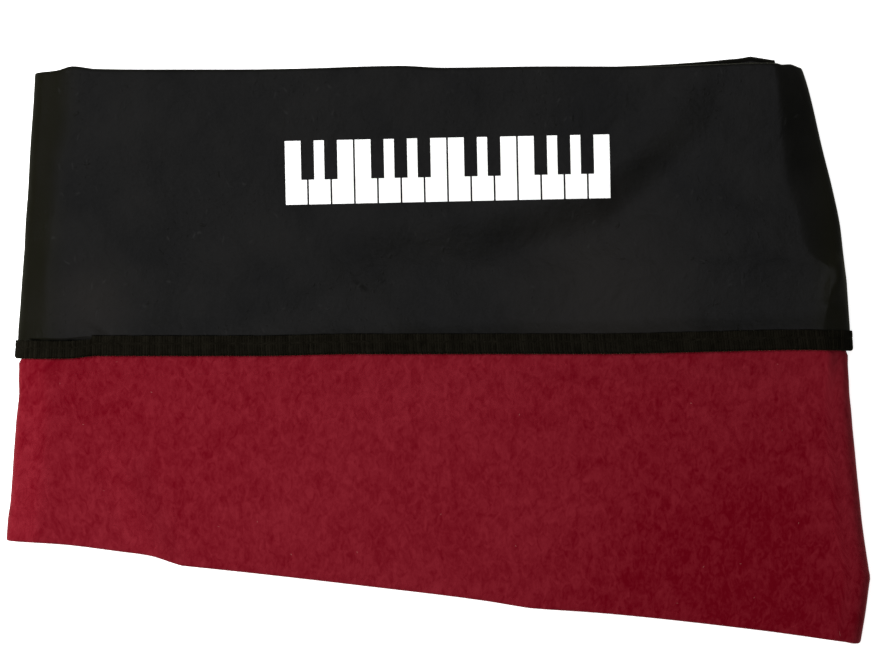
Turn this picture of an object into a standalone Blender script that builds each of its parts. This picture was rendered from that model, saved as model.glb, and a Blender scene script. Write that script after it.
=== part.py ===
"""Dust cover for a portable piano, folded flat: a coated shell, a suede lining and a bound front hem.

The cloth is folded twice. Across its depth it makes a Z: the front flap lies over the main panel, which turns
under at the near side as a short tuck. Along its length it is then folded in three, both ends under: the
middle third on top, the left third beneath it and the right third at the bottom.

Sizes are in millimetres. X runs to the right, Y to the rear and Z up from the surface that the cover lies on.
"""

import math

import bmesh
import bpy
import numpy as np

MM = 0.001  # metres in a millimetre

# Cloth and the room between its layers
SHEET = 1.0  # thickness of the shell, of the lining and of the tape
SEAM_GAP = 0.3  # between pieces that are sewn together
PLY_GAP = 0.7  # between two layers inside one third
THIRD_GAP = 1.0  # between the stacked thirds
PLY = 2 * SHEET + SEAM_GAP  # shell and lining together
PLY_TURN = (PLY + PLY_GAP) / 2  # middle radius where one ply turns back
STACK = 2 * PLY + PLY_GAP  # height of one third
HALF = STACK / 2
PITCH = STACK + THIRD_GAP  # from one third to the next
FULL_HEIGHT = 3 * STACK + 2 * THIRD_GAP

# Binding tape, folded over the front hem
TAPE = 11.0  # width that shows
TAPE_TURN = SHEET / 2 + SEAM_GAP + SHEET / 2  # middle radius of its turn round the shell's edge
TAPE_EDGE = TAPE_TURN + SHEET / 2  # from the tape's outer edge to the shell's hem
TAPE_RISE = SHEET + SEAM_GAP  # how far the tape stands off the shell
TAPE_ROOM = 0.9  # extra room that the tape needs between two thirds
HUMP = 15.0  # a layer falls back to its level this far from a tape under it

# How the plies lie across the depth
RAMP = 34.0  # the main panel rises over the tuck within this distance of the front hem
TAPE_CLEAR = 2.5  # flat cloth left in front of the tape before that rise
LEFT_SLOPE = 13.0  # the upper thirds slope down to the left turn over this width
LEFT_DROP = 4.0  # by this much where the turn starts, past the end of the bottom third
SQUARENESS = {"left": 0.9, "right": 0.75, "ply": 0.55}  # exponents of the turns, 1 for a circle

# How far the hidden thirds depart from the top one
MIDDLE_HEM_DRIFT = -7.0  # the middle third's hem at its free end
BOTTOM_HEM_DRIFT = -17.0  # the bottom third's hem at its free end
MIDDLE_NEAR_INSET = 2.0
BOTTOM_NEAR_INSET = 3.5
BOTTOM_REAR_INSET = 2.0
INSET_RUN = 0.5  # share of the length over which an inset builds up

ORIGIN = (-0.82, 0.12)  # middle of the outline that the tables below give
NEAR_DEPTH = -130.0  # about where the near fold lies
REAR_DEPTH = 155.0  # about where the rear fold lies


class Table:
    """Rows of named columns. The first column is the place, and the others are read smoothly between rows."""

    def __init__(self, names, *rows):
        self.names = names.split()
        self.columns = dict(zip(self.names, np.array(rows, float).T))

    def read(self, name, at):
        place = self.columns[self.names[0]]
        value = self.columns[name]
        step = np.diff(place)
        rise = np.diff(value) / step
        both = rise[:-1] * rise[1:]
        inner = np.where(both > 0, 2 * both / np.where(both > 0, rise[:-1] + rise[1:], 1), 0)
        tangent = np.concatenate(([rise[0]], inner, [rise[-1]]))
        at = np.clip(np.asarray(at, float), place[0], place[-1])
        k = np.clip(np.searchsorted(place, at) - 1, 0, len(step) - 1)
        t = (at - place[k]) / step[k]
        start = (1 + 2 * t) * (1 - t) ** 2 * value[k] + t * (1 - t) ** 2 * step[k] * tangent[k]
        end = t * t * (3 - 2 * t) * value[k + 1] + t * t * (t - 1) * step[k] * tangent[k + 1]
        return start + end


# Side folds. Crest is how far inside the right fold the top third starts to slope down, drop is by how much.
SIDES = Table(
    "y left right crest drop",
    (-161, -238.6, 231.9, 16, 0.8),
    (-143, -238.6, 234.9, 16, 0.8),
    (-128.5, -238.6, 236.8, 16, 0.8),
    (-125, -238.6, 237.3, 16, 0.8),
    (-121.5, -238.6, 236.7, 16, 0.8),
    (-93, -237.1, 232.6, 16, 0.8),
    (-84, -235.8, 231.7, 16, 0.8),
    (-60, -234.1, 229.3, 16, 0.8),
    (-27, -232.2, 226.8, 16, 0.8),
    (-14, -233.6, 227.7, 15, 1.6),
    (-5.6, -233.8, 228.0, 15, 3.0),
    (-4.2, -232.0, 228.1, 15, 3.2),
    (-1.6, -231.9, 228.0, 15, 3.4),
    (0.2, -231.8, 226.8, 15, 3.6),
    (11, -231.3, 226.3, 16, 4.0),
    (26, -230.2, 225.3, 12, 1.6),
    (38, -229.4, 224.3, 10, 0.1),
    (46, -228.8, 223.3, 10, 0.2),
    (56, -228.0, 222.3, 14, 3.0),
    (68, -227.5, 221.0, 22, 5.4),
    (88, -226.0, 216.9, 26, 6.2),
    (110, -224.9, 211.4, 24, 6.2),
    (145, -222.6, 203.1, 18, 4.2),
    (160, -222.0, 198.0, 15, 2.6),
)

# Rear fold of the top third, and how far the middle third shows past it
REAR = Table(
    "x y peek",
    (-222, 152.6, -0.5),
    (-210, 153.6, -1.0),
    (-201, 155.9, -1.5),
    (-188, 154.4, -1.5),
    (-165, 154.1, -1.5),
    (-109, 154.1, -1.5),
    (-80, 154.5, -1.5),
    (-20, 156.1, -1.5),
    (2, 155.1, -1.5),
    (60, 155.8, -1.0),
    (112, 155.7, 0.8),
    (145, 156.7, 1.8),
    (160, 157.2, 2.7),
    (167, 157.5, 3.0),
    (172, 157.6, 3.9),
    (176, 157.7, 2.5),
    (180, 157.7, 2.0),
    (186, 157.5, 1.9),
    (189, 156.8, -0.4),
    (194, 157.1, -0.6),
    (199, 155.6, -0.8),
)

# Near fold, with the small pucker left of its middle
NEAR = Table(
    "x y",
    (-237, -105.0),
    (-208, -106.6),
    (-175, -110.6),
    (-159, -112.8),
    (-141, -118.4),
    (-109, -121.7),
    (-43, -129.2),
    (23, -137.3),
    (53, -142.1),
    (89, -144.4),
    (172, -153.3),
    (230, -161.3),
)

# Near edge of the binding on the front hem
HEM = Table(
    "x y",
    (-232, -4.4),
    (-204, -4.4),
    (-190, -3.3),
    (-100, -3.3),
    (-48, -2.3),
    (90, -2.2),
    (145, -1.1),
    (199, 0.0),
    (227, -0.5),
)

# A soft fall across the top layers: the line that it follows and its share of the full height there
FALL = Table(
    "x y share",
    (-62, 56, 0.0),
    (-32, 58, 0.6),
    (22, 58, 1.0),
    (52, 69, 1.0),
    (92, 83, 1.0),
    (119, 102, 1.0),
    (141, 119, 0.9),
    (172, 142, 0.0),
)
FALL_REACH = 36.0  # how far it goes to the rear and to the front of its line
FALL_HEIGHT = 5.4  # over that reach, if it kept its steepest slope

# Soft hollows and rises of the top layers: a line, how far to each side they reach and how high they are
SWELLS = (
    {"name": "hollow left of the middle", "start": (-24, 32), "end": (-10, 18), "reach": 19, "height": -0.4},
    {"name": "rise right of the middle", "start": (140, 22), "end": (160, 40), "reach": 80, "height": 1.4},
    {"name": "rise at the left", "start": (-200, 50), "end": (-165, 15), "reach": 38, "height": 0.4},
    {"name": "ridge from the pucker", "start": (-154, -112), "end": (-172, -66), "reach": 15, "height": 0.9},
)

# Where the grid lines of the cloth lie. Along the length, 0 to 1 is the left slope, 1 to 2 lies between the
# crests and 2 to 3 is the right slope. Across the depth, the marks are those that depth_marks gives.
SLOPE_STEPS_LEFT = (0, 0.33, 0.66)
SLOPE_STEPS_RIGHT = (2.25, 2.5, 2.75, 3)
TOP_STEPS = (1, 1.07, 1.143, 1.188, 1.27, 1.36, 1.45, 1.54, 1.637, 1.72, 1.81, 1.9, 2)
HIDDEN_STEPS = (1.01, 1.2, 1.4, 1.6, 1.78, 1.9, 1.97, 1.99)
MIDDLE_END_STEP = 2.2  # the middle third ends a little way inside the right fold
FLAP_MARKS = (3, 3.5, 4, 4.12, 4.2, 4.26, 4.33, 4.41, 4.55, 4.75, 5)
LINING_MARK = 4  # the lining starts behind the tape
PANEL_MARKS = (*reversed(FLAP_MARKS), 2, 1.67, 1.33, 1, 0.66, 0.33, 0)
TUCK_MARKS = (0, 0.33, 0.66, 0.97)
PLY_TURN_STEPS = 4
SIDE_TURN_STEPS = 5
SHARP = math.radians(50)  # edges that turn more than this stay sharp, such as the cut hems


def smooth(t):
    t = np.clip(t, 0, 1)
    return t * t * (3 - 2 * t)


def ease(t):
    """Starts level and reaches 1 on a slope of 1, which it keeps from there."""
    t = np.maximum(t, 0)
    return np.where(t < 1, t * t * (2 - t), t)


def mix(a, b, share):
    return a + (b - a) * share


# ---- outline of the folded cloth -------------------------------------------------------------------------


def side_marks(y):
    """Where the flat stretch starts, its left crest, its right crest and where it ends, at depth y."""
    start = SIDES.read("left", y) + PITCH / 2 + HALF
    right = SIDES.read("right", y)
    return (start, start + LEFT_SLOPE, right - SIDES.read("crest", y), right - right_turn(y) - HALF)


def right_turn(y):
    """Middle radius of the right fold, with room for the tape where that passes."""
    room = TAPE_ROOM * hump(y, hem_line("middle", SIDES.read("right", y)))
    return PITCH + (room - SIDES.read("drop", y)) / 2


def along(step, y):
    """X of the grid line at that step along the length, on the flat stretch."""
    marks = side_marks(y)
    x = mix(marks[0], marks[1], np.clip(step, 0, 1))
    x = x + (marks[2] - marks[1]) * np.clip(step - 1, 0, 1)
    return x + (marks[3] - marks[2]) * np.clip(step - 2, 0, 1)


def length_share(x):
    """0 at the left fold, 1 at the right fold."""
    left = SIDES.read("left", 0)
    return np.clip((x - left) / (SIDES.read("right", 0) - left), 0, 1)


def hem_line(third, x):
    """Y of the binding's near edge in a third."""
    drift = 0
    if third == "middle":
        drift = MIDDLE_HEM_DRIFT * length_share(x)
    if third == "bottom":
        drift = BOTTOM_HEM_DRIFT * (1 - length_share(x))
    return HEM.read("y", x) + drift


def rear_line(third, x):
    """Y of the rear fold in a third."""
    inset = 0
    if third == "middle":
        inset = REAR.read("peek", x) * smooth(length_share(x) / INSET_RUN)
    if third == "bottom":
        inset = -BOTTOM_REAR_INSET * smooth((1 - length_share(x)) / INSET_RUN)
    return REAR.read("y", x) + inset


def near_line(third, x):
    """Y of the near fold in a third."""
    inset = 0
    if third == "middle":
        inset = MIDDLE_NEAR_INSET * smooth(length_share(x) / INSET_RUN)
    if third == "bottom":
        inset = BOTTOM_NEAR_INSET * smooth((1 - length_share(x)) / INSET_RUN)
    return NEAR.read("y", x) + inset


# ---- height of each third --------------------------------------------------------------------------------


def hump(y, tape_edge):
    """1 over a tape that lies underneath, and 0 well away from it."""
    across = y - tape_edge
    return smooth((across + HUMP) / HUMP) * smooth((TAPE + HUMP - across) / HUMP)


def swell(x, y):
    """Height of the soft fall, hollows and rises on the top."""
    away = (y - FALL.read("y", x)) / FALL_REACH
    total = FALL_HEIGHT * FALL.read("share", x) * away * smooth(1 - np.abs(away))
    for fold in SWELLS:
        ax, ay = fold["start"]
        bx, by = fold["end"]
        length2 = (bx - ax) ** 2 + (by - ay) ** 2
        share = np.clip(((x - ax) * (bx - ax) + (y - ay) * (by - ay)) / length2, 0, 1)
        away = np.hypot(x - mix(ax, bx, share), y - mix(ay, by, share))
        total = total + fold["height"] * smooth(1 - away / fold["reach"])
    return total


def left_drop(x, y):
    """How far the upper thirds come down at the left."""
    return LEFT_DROP * ease((side_marks(y)[1] - x) / LEFT_SLOPE)


def level(third, x, y):
    """Height of the middle of a third's stack."""
    height = HALF + TAPE_RISE * hump(y, hem_line("bottom", x))
    if third == "bottom":
        return height
    height = height + PITCH + TAPE_ROOM * hump(y, hem_line("middle", x)) - left_drop(x, y)
    if third == "middle":
        return height
    crest, end = side_marks(y)[2:]
    return height + PITCH - SIDES.read("drop", y) * ease((x - crest) / (end - crest))


# ---- the two folds ---------------------------------------------------------------------------------------


def rounded(value, turn):
    """A sine or cosine of a turn, made squarer."""
    return math.copysign(abs(value) ** SQUARENESS[turn], value)


class Column:
    """A line across the cloth's depth: on one of the thirds at a step, or round a side turn at an angle."""

    def __init__(self, third, step=None, turn=None):
        self.third = third
        self.step = step
        self.turn = turn

    def x_at(self, y):
        """About where the line lies at depth y."""
        if self.turn is None:
            return along(self.step, y)
        marks = side_marks(y)
        if self.third == "middle":
            return mix(marks[0], SIDES.read("left", y), rounded(math.sin(self.turn), "left"))
        return mix(marks[3], SIDES.read("right", y), rounded(math.sin(self.turn), "right"))

    def line(self, of, y):
        """Y of a fold or hem on this line. On a side turn it passes from the top to the third below."""
        x = self.x_at(y)
        if self.turn is None:
            return of(self.third, x)
        return mix(of("top", x), of(self.third, x), smooth(self.turn / math.pi))

    def depth_marks(self):
        """Y of the near turn, the tuck's end, the rise, the two hems and the rear turn."""
        hem = self.line(hem_line, 0)
        near = self.line(near_line, NEAR.read("y", self.x_at(NEAR_DEPTH)))
        rear = self.line(rear_line, REAR_DEPTH)
        return (
            near + HALF,
            hem - TAPE_CLEAR - RAMP,
            hem - TAPE_CLEAR,
            hem + TAPE_EDGE,
            hem + TAPE + SEAM_GAP,
            rear - HALF,
        )

    def point(self, y, h):
        """World position at depth y and height h in the stack, which folds under with its third."""
        lift = h - HALF
        if self.turn is None:
            x = along(self.step, y)
            z = level(self.third, x, y) + (lift if self.third == "top" else -lift)
        elif self.third == "middle":
            start = side_marks(y)[0]
            radius = PITCH / 2
            x = start - (radius + lift) * rounded(math.sin(self.turn), "left")
            z = level("middle", start, y) + radius + (radius + lift) * rounded(math.cos(self.turn), "left")
            z = z + left_drop(start, y) - left_drop(x, y)
        else:
            crest, start = side_marks(y)[2:]
            radius = right_turn(y)
            past = (radius + lift) * rounded(math.sin(self.turn), "right")
            x = start + past
            z = level("bottom", start, y) + radius + (radius + lift) * rounded(math.cos(self.turn), "right")
            z = z - SIDES.read("drop", y) / (start - crest) * past * math.cos(self.turn / 2) ** 2
        z = z + swell(x, y) * (z / FULL_HEIGHT) ** 2
        return ((x - ORIGIN[0]) * MM, (y - ORIGIN[1]) * MM, z * MM)


def cloth_columns():
    """The cloth from the left third's free end, over the top, to the right third's free end."""
    turns = [math.pi * k / SIDE_TURN_STEPS for k in range(1, SIDE_TURN_STEPS)]
    middle_steps = SLOPE_STEPS_LEFT + HIDDEN_STEPS + (MIDDLE_END_STEP,)
    left_third = [Column("middle", s) for s in reversed(middle_steps)]
    left_fold = [Column("middle", turn=t) for t in reversed(turns)]
    top_third = [Column("top", s) for s in SLOPE_STEPS_LEFT + TOP_STEPS + SLOPE_STEPS_RIGHT]
    right_fold = [Column("bottom", turn=t) for t in turns]
    right_third = [Column("bottom", s) for s in reversed(HIDDEN_STEPS + SLOPE_STEPS_RIGHT)]
    return left_third + left_fold + top_third + right_fold + right_third


def cloth_rows(first_mark):
    """The cloth from its front hem, round the rear and near turns, to the tuck's hem."""
    angles = [math.pi * k / PLY_TURN_STEPS for k in range(1, PLY_TURN_STEPS)]
    flap = [("flap", m) for m in FLAP_MARKS if m >= first_mark]
    rear = [("rear turn", angle) for angle in angles]
    panel = [("panel", m) for m in PANEL_MARKS]
    near = [("near turn", angle) for angle in angles]
    tuck = [("tuck", m) for m in TUCK_MARKS]
    return flap + rear + panel + near + tuck


def cloth_point(column, row, offset):
    """A point of the cloth, offset from the middle of its ply towards the shell's face."""
    kind, value = row
    marks = column.depth_marks()
    low = PLY / 2
    high = STACK - PLY / 2
    if kind == "rear turn":
        y = marks[5] + (PLY_TURN + offset) * rounded(math.sin(value), "ply")
        h = HALF + (PLY_TURN + offset) * rounded(math.cos(value), "ply")
    elif kind == "near turn":
        y = marks[0] - (PLY_TURN - offset) * rounded(math.sin(value), "ply")
        h = HALF + (PLY_TURN - offset) * rounded(math.cos(value), "ply")
    else:
        k = min(int(value), len(marks) - 2)
        y = mix(marks[k], marks[k + 1], value - k)
        if kind == "flap":
            h = high + offset
        elif kind == "tuck":
            h = low + offset
        else:
            h = mix(high, low, smooth(value - 1)) - offset
    return column.point(y, h)


def tape_rows():
    """Across the tape: the leaf on the shell's face, the turn round its edge and the leaf on the back."""
    turns = [("turn", math.pi * k / PLY_TURN_STEPS) for k in range(PLY_TURN_STEPS + 1)]
    return [("face", TAPE), ("face", TAPE / 2)] + turns + [("back", TAPE / 2), ("back", TAPE)]


def tape_point(column, row, offset):
    """A point of the tape, offset from its middle towards its outer side."""
    kind, value = row
    edge = column.line(hem_line, 0)
    shell_middle = STACK - SHEET / 2
    radius = TAPE_TURN + offset
    if kind == "turn":
        y = edge + TAPE_EDGE - radius * math.sin(value)
        return column.point(y, shell_middle + radius * math.cos(value))
    side = radius if kind == "face" else -radius
    return column.point(edge + value, shell_middle + side)


# ---- meshes ----------------------------------------------------------------------------------------------


def grid_place(co, columns, rows):
    """The column and the row at a point of the flat unit grid."""
    return columns[round((co.x + 0.5) * (len(columns) - 1))], rows[round((co.y + 0.5) * (len(rows) - 1))]


def leans(column, row):
    """Whether a cell is split the other way, so that its diagonal is along those of the layers around."""
    return (column.third == "top") == (row[0] == "panel")


def folded_sheet(name, columns, rows, place, low, high, material, collection):
    """A flat grid of cloth gets its thickness, and each of its points then goes where the folds take it."""
    bm = bmesh.new()
    bmesh.ops.create_grid(bm, x_segments=len(columns) - 1, y_segments=len(rows) - 1, size=0.5)
    across = [f for f in bm.faces if leans(*grid_place(f.calc_center_median(), columns, rows))]
    bmesh.ops.triangulate(bm, faces=across, quad_method="ALTERNATE")
    bmesh.ops.triangulate(bm, faces=[f for f in bm.faces if len(f.verts) > 3], quad_method="FIXED")
    grown = bmesh.ops.extrude_face_region(bm, geom=bm.faces[:])["geom"]
    upper = {v for v in grown if isinstance(v, bmesh.types.BMVert)}
    for v in bm.verts:
        column, row = grid_place(v.co, columns, rows)
        v.co = place(column, row, high if v in upper else low)
    bmesh.ops.triangulate(bm, faces=[f for f in bm.faces if len(f.verts) > 3], quad_method="FIXED")
    bmesh.ops.recalc_face_normals(bm, faces=bm.faces[:])
    mesh = bpy.data.meshes.new(name)
    bm.to_mesh(mesh)
    bm.free()
    mesh.shade_smooth()
    mesh.set_sharp_from_angle(angle=SHARP)
    mesh.materials.append(material)
    sheet = bpy.data.objects.new(name, mesh)
    collection.objects.link(sheet)
    return sheet


def cloth_material(name, colour, roughness):
    material = bpy.data.materials.new(name)
    material.use_nodes = True
    shader = material.node_tree.nodes["Principled BSDF"]
    shader.inputs["Base Color"].default_value = (*colour, 1)
    shader.inputs["Roughness"].default_value = roughness
    shader.inputs["Metallic"].default_value = 0
    material.diffuse_color = (*colour, 1)
    return material


def clear_scene():
    for item in list(bpy.data.objects):
        bpy.data.objects.remove(item, do_unlink=True)


def build_shell(columns, collection):
    material = cloth_material("black coated nylon", (0.015, 0.015, 0.017), 0.5)
    return folded_sheet(
        "shell", columns, cloth_rows(FLAP_MARKS[0]), cloth_point, SEAM_GAP / 2, PLY / 2, material, collection
    )


def build_lining(columns, collection):
    material = cloth_material("red suede cloth", (0.17, 0.006, 0.016), 0.9)
    return folded_sheet(
        "lining", columns, cloth_rows(LINING_MARK), cloth_point, -PLY / 2, -SEAM_GAP / 2, material, collection
    )


def build_binding(columns, collection):
    material = cloth_material("black ribbed tape", (0.006, 0.006, 0.005), 0.8)
    return folded_sheet(
        "binding", columns, tape_rows(), tape_point, -SHEET / 2, SHEET / 2, material, collection
    )


def main():
    clear_scene()
    collection = bpy.data.collections.new("piano_cover")
    bpy.context.scene.collection.children.link(collection)
    cover = bpy.data.objects.new("piano_cover", None)
    collection.objects.link(cover)
    columns = cloth_columns()
    for build in (build_shell, build_lining, build_binding):
        build(columns, collection).parent = cover


main()
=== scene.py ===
# A dust cover for a portable piano, folded flat: black coated nylon outside, red suede cloth inside and a
# ribbed binding tape on the front hem. It lies on a pale floor and is seen from straight above.
import math

import bpy
import numpy as np
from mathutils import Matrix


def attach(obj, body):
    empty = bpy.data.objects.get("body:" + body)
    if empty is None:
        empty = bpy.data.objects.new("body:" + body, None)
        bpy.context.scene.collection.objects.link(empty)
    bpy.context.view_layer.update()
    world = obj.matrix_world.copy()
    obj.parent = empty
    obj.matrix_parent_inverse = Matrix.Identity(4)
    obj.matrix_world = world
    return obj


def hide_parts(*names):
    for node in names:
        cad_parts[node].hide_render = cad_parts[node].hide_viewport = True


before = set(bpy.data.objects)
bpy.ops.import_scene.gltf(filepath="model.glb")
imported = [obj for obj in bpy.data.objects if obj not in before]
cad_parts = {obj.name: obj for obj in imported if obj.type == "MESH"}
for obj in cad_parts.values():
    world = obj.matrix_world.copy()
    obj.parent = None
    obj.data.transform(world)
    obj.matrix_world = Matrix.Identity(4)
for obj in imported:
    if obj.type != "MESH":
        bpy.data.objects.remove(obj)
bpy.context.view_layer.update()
mm = 0.001

# The folded cloth has the same folds as the solids, drawn finer
layers = dict(
    sheet=1.0,  # shell, lining and tape, in millimetres as all lengths here
    seamGap=0.3,
    drawnSeam=0.1,  # between shell and lining as drawn here
    plyGap=0.7,  # between two layers inside one third
    thirdGap=1.0,  # between the stacked thirds
)
tape = dict(
    width=11.0,
    rise=1.3,  # how far it stands off the shell
    room=0.9,  # more room between two thirds where the tape passes
    hump=15.0,  # the layers above fall back to their level over this
    turnSteps=10,
    faceSteps=(1, 0.75, 0.5, 0.25),  # shares of its width
    inside=-0.5,  # its two faces, from its middle
    outside=0.3,
    join=dict(start=1.0538, gap=0.0006, count=20),  # finer columns where its two ends meet
)
lie = dict(
    ramp=34.0,  # the main panel rises over its tuck in this distance from the front hem
    tapeClear=2.5,
    leftSlope=13.0,
    middleHemDrift=-7.0,
    bottomHemDrift=-17.0,
    middleNearInset=2.0,
    bottomNearInset=3.5,
    bottomRearInset=2.0,
    insetRun=0.5,  # share of the length over which an inset comes in
    squareness=dict(left=0.9, right=0.75, ply=0.55),  # of the turns, where a circle has 1
    middle=(-0.82, 0.12),  # of the outline that the tables give
    nearDepth=-130.0,
    rearDepth=155.0,
)
ply = 2 * layers["sheet"] + layers["seamGap"]
plyTurn = (ply + layers["plyGap"]) / 2
stack = 2 * ply + layers["plyGap"]
half = stack / 2
pitch = stack + layers["thirdGap"]
fullHeight = 3 * stack + 2 * layers["thirdGap"]
tapeTurn = layers["sheet"] + layers["seamGap"]
tapeEdge = tapeTurn + layers["sheet"] / 2


class FoldTable:  # rows of named columns, read smoothly between rows
    def __init__(self, names, *rows):
        self.names = names.split()
        self.columns = dict(zip(self.names, np.array(rows, float).T))

    def read(self, name, at):
        place = self.columns[self.names[0]]
        value = self.columns[name]
        step = np.diff(place)
        rise = np.diff(value) / step
        both = rise[:-1] * rise[1:]
        inner = np.where(both > 0, 2 * both / np.where(both > 0, rise[:-1] + rise[1:], 1), 0)
        tangent = np.concatenate(([rise[0]], inner, [rise[-1]]))
        at = np.clip(np.asarray(at, float), place[0], place[-1])
        k = np.clip(np.searchsorted(place, at) - 1, 0, len(step) - 1)
        t = (at - place[k]) / step[k]
        start = (1 + 2 * t) * (1 - t) ** 2 * value[k] + t * (1 - t) ** 2 * step[k] * tangent[k]
        end = t * t * (3 - 2 * t) * value[k + 1] + t * t * (t - 1) * step[k] * tangent[k + 1]
        return start + end


# Crest is how far inside the right fold the top third starts to slope down, and drop is by how much
sides = FoldTable(
    "y left right crest drop",
    (-161, -238.6, 231.9, 16, 0.8),
    (-143, -238.6, 234.9, 16, 0.8),
    (-128.5, -238.6, 236.8, 16, 0.8),
    (-125, -238.6, 237.3, 16, 0.8),
    (-121.5, -238.6, 236.7, 16, 0.8),
    (-93, -237.1, 232.6, 16, 0.8),
    (-84, -235.8, 231.7, 16, 0.8),
    (-60, -234.1, 229.3, 16, 0.8),
    (-27, -232.2, 226.8, 16, 0.8),
    (-14, -233.6, 227.7, 15, 1.6),
    (-5.6, -233.8, 228.0, 15, 3.0),
    (-4.2, -232.0, 228.1, 15, 3.2),
    (-1.6, -231.9, 228.0, 15, 3.4),
    (0.2, -231.8, 226.8, 15, 3.6),
    (11, -231.3, 226.3, 16, 4.0),
    (26, -230.2, 225.3, 12, 1.6),
    (38, -229.4, 224.3, 10, 0.1),
    (46, -228.8, 223.3, 10, 0.2),
    (50, -228.5, 222.9, 17, 1.8),
    (56, -228.0, 222.3, 22, 4.0),
    (61, -227.8, 221.8, 24, 4.8),
    (68, -227.5, 221.0, 23, 5.4),
    (88, -226.0, 216.9, 26, 6.2),
    (110, -224.9, 211.4, 24, 6.2),
    (145, -222.6, 203.1, 18, 4.2),
    (160, -222.0, 198.0, 15, 2.6),
)
# Peek is how far the middle third shows past the top one's rear fold
rearFold = FoldTable(
    "x y peek",
    (-222, 152.6, -0.5),
    (-210, 153.6, -1.0),
    (-201, 155.9, -1.5),
    (-188, 154.4, -1.5),
    (-165, 154.1, -1.5),
    (-109, 154.1, -1.5),
    (-80, 154.5, -1.5),
    (-20, 156.1, -1.5),
    (2, 155.1, -1.5),
    (60, 155.8, -1.0),
    (112, 155.7, 0.8),
    (145, 156.7, 1.8),
    (160, 157.2, 2.7),
    (167, 157.5, 3.0),
    (172, 157.6, 3.9),
    (176, 157.7, 2.5),
    (180, 157.7, 2.0),
    (186, 157.5, 1.9),
    (189, 156.8, -0.4),
    (194, 157.1, -0.6),
    (199, 155.6, -0.8),
)
nearFold = FoldTable(
    "x y",
    (-237, -105.0),
    (-208, -106.6),
    (-175, -110.6),
    (-159, -112.8),
    (-144, -117.5),
    (-141, -118.4),
    (-137, -118.8),
    (-109, -121.7),
    (-43, -129.2),
    (23, -137.3),
    (47, -141.2),
    (50, -141.65),
    (55, -142.05),
    (89, -144.4),
    (172, -153.3),
    (230, -161.3),
)
leftFall = FoldTable(  # how far from the left fold the upper thirds start to fall, and by how much
    "y reach drop",
    (15, 13.0, 4.0),
    (26, 11.5, 4.0),
    (40, 10.0, 4.0),
    (62, 11.5, 4.0),
    (90, 13.0, 4.0),
    (110, 15.5, 4.5),
    (126, 18.0, 5.0),
    (155, 18.0, 5.0),
)
frontHem = FoldTable(
    "x y",
    (-232, -4.4),
    (-204, -4.4),
    (-190, -3.3),
    (-100, -3.3),
    (-48, -2.3),
    (90, -2.2),
    (145, -1.1),
    (199, 0.0),
    (227, -0.5),
)


def smooth(t):
    t = np.clip(t, 0, 1)
    return t * t * (3 - 2 * t)


def ease(t):  # starts level and reaches 1 on a slope of 1, which it keeps from there
    t = np.maximum(t, 0)
    return np.where(t < 1, t * t * (2 - t), t)


def mix(a, b, share):
    return a + (b - a) * share


def hump(y, tapeLine):  # 1 over a tape underneath, 0 well away from it
    across = y - tapeLine
    return smooth((across + tape["hump"]) / tape["hump"]) * smooth(
        (tape["width"] + tape["hump"] - across) / tape["hump"]
    )


def rightTurn(y):
    room = tape["room"] * hump(y, hemLine("middle", sides.read("right", y)))
    return pitch + (room - sides.read("drop", y)) / 2


def sideMarks(y):  # start of the flat stretch, its two crests and its end, at depth y
    start = sides.read("left", y) + pitch / 2 + half
    right = sides.read("right", y)
    return start, start + lie["leftSlope"], right - sides.read("crest", y), right - rightTurn(y) - half


def along(step, y):
    marks = sideMarks(y)
    x = mix(marks[0], marks[1], np.clip(step, 0, 1))
    x = x + (marks[2] - marks[1]) * np.clip(step - 1, 0, 1)
    return x + (marks[3] - marks[2]) * np.clip(step - 2, 0, 1)


def lengthShare(x):  # 0 at the left fold, 1 at the right fold
    left = sides.read("left", 0)
    return np.clip((x - left) / (sides.read("right", 0) - left), 0, 1)


def hemLine(third, x):
    drift = 0
    if third == "middle":
        drift = lie["middleHemDrift"] * lengthShare(x)
    if third == "bottom":
        drift = lie["bottomHemDrift"] * (1 - lengthShare(x))
    return frontHem.read("y", x) + drift


def rearLine(third, x):
    inset = 0
    if third == "middle":
        inset = rearFold.read("peek", x) * smooth(lengthShare(x) / lie["insetRun"])
    if third == "bottom":
        inset = -lie["bottomRearInset"] * smooth((1 - lengthShare(x)) / lie["insetRun"])
    return rearFold.read("y", x) + inset


def nearLine(third, x):
    inset = 0
    if third == "middle":
        inset = lie["middleNearInset"] * smooth(lengthShare(x) / lie["insetRun"])
    if third == "bottom":
        inset = lie["bottomNearInset"] * smooth((1 - lengthShare(x)) / lie["insetRun"])
    return nearFold.read("y", x) + inset


def leftDrop(x, y):
    reach = leftFall.read("reach", y)
    return leftFall.read("drop", y) * ease((sideMarks(y)[0] + reach - x) / reach)


def level(third, x, y):  # height of the middle of a third's stack
    height = half + tape["rise"] * hump(y, hemLine("bottom", x))
    if third == "bottom":
        return height
    height = height + pitch + tape["room"] * hump(y, hemLine("middle", x)) - leftDrop(x, y)
    if third == "middle":
        return height
    crest, end = sideMarks(y)[2:]
    return height + pitch - sides.read("drop", y) * ease((x - crest) / (end - crest))


# A soft fall across the top layers: the line that it follows and its share of the full height there
fallLine = FoldTable(
    "x y share",
    (-62, 56, 0.0),
    (-32, 58, 0.6),
    (14, 58, 0.9),
    (39, 66, 1.0),
    (65, 72, 1.2),
    (89, 79, 1.2),
    (101, 89, 1.05),
    (116, 102, 1.0),
    (129, 112, 0.8),
    (141, 120, 0.35),
    (152, 127, 0.0),
)
fall = dict(reach=36.0, height=5.4)
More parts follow.
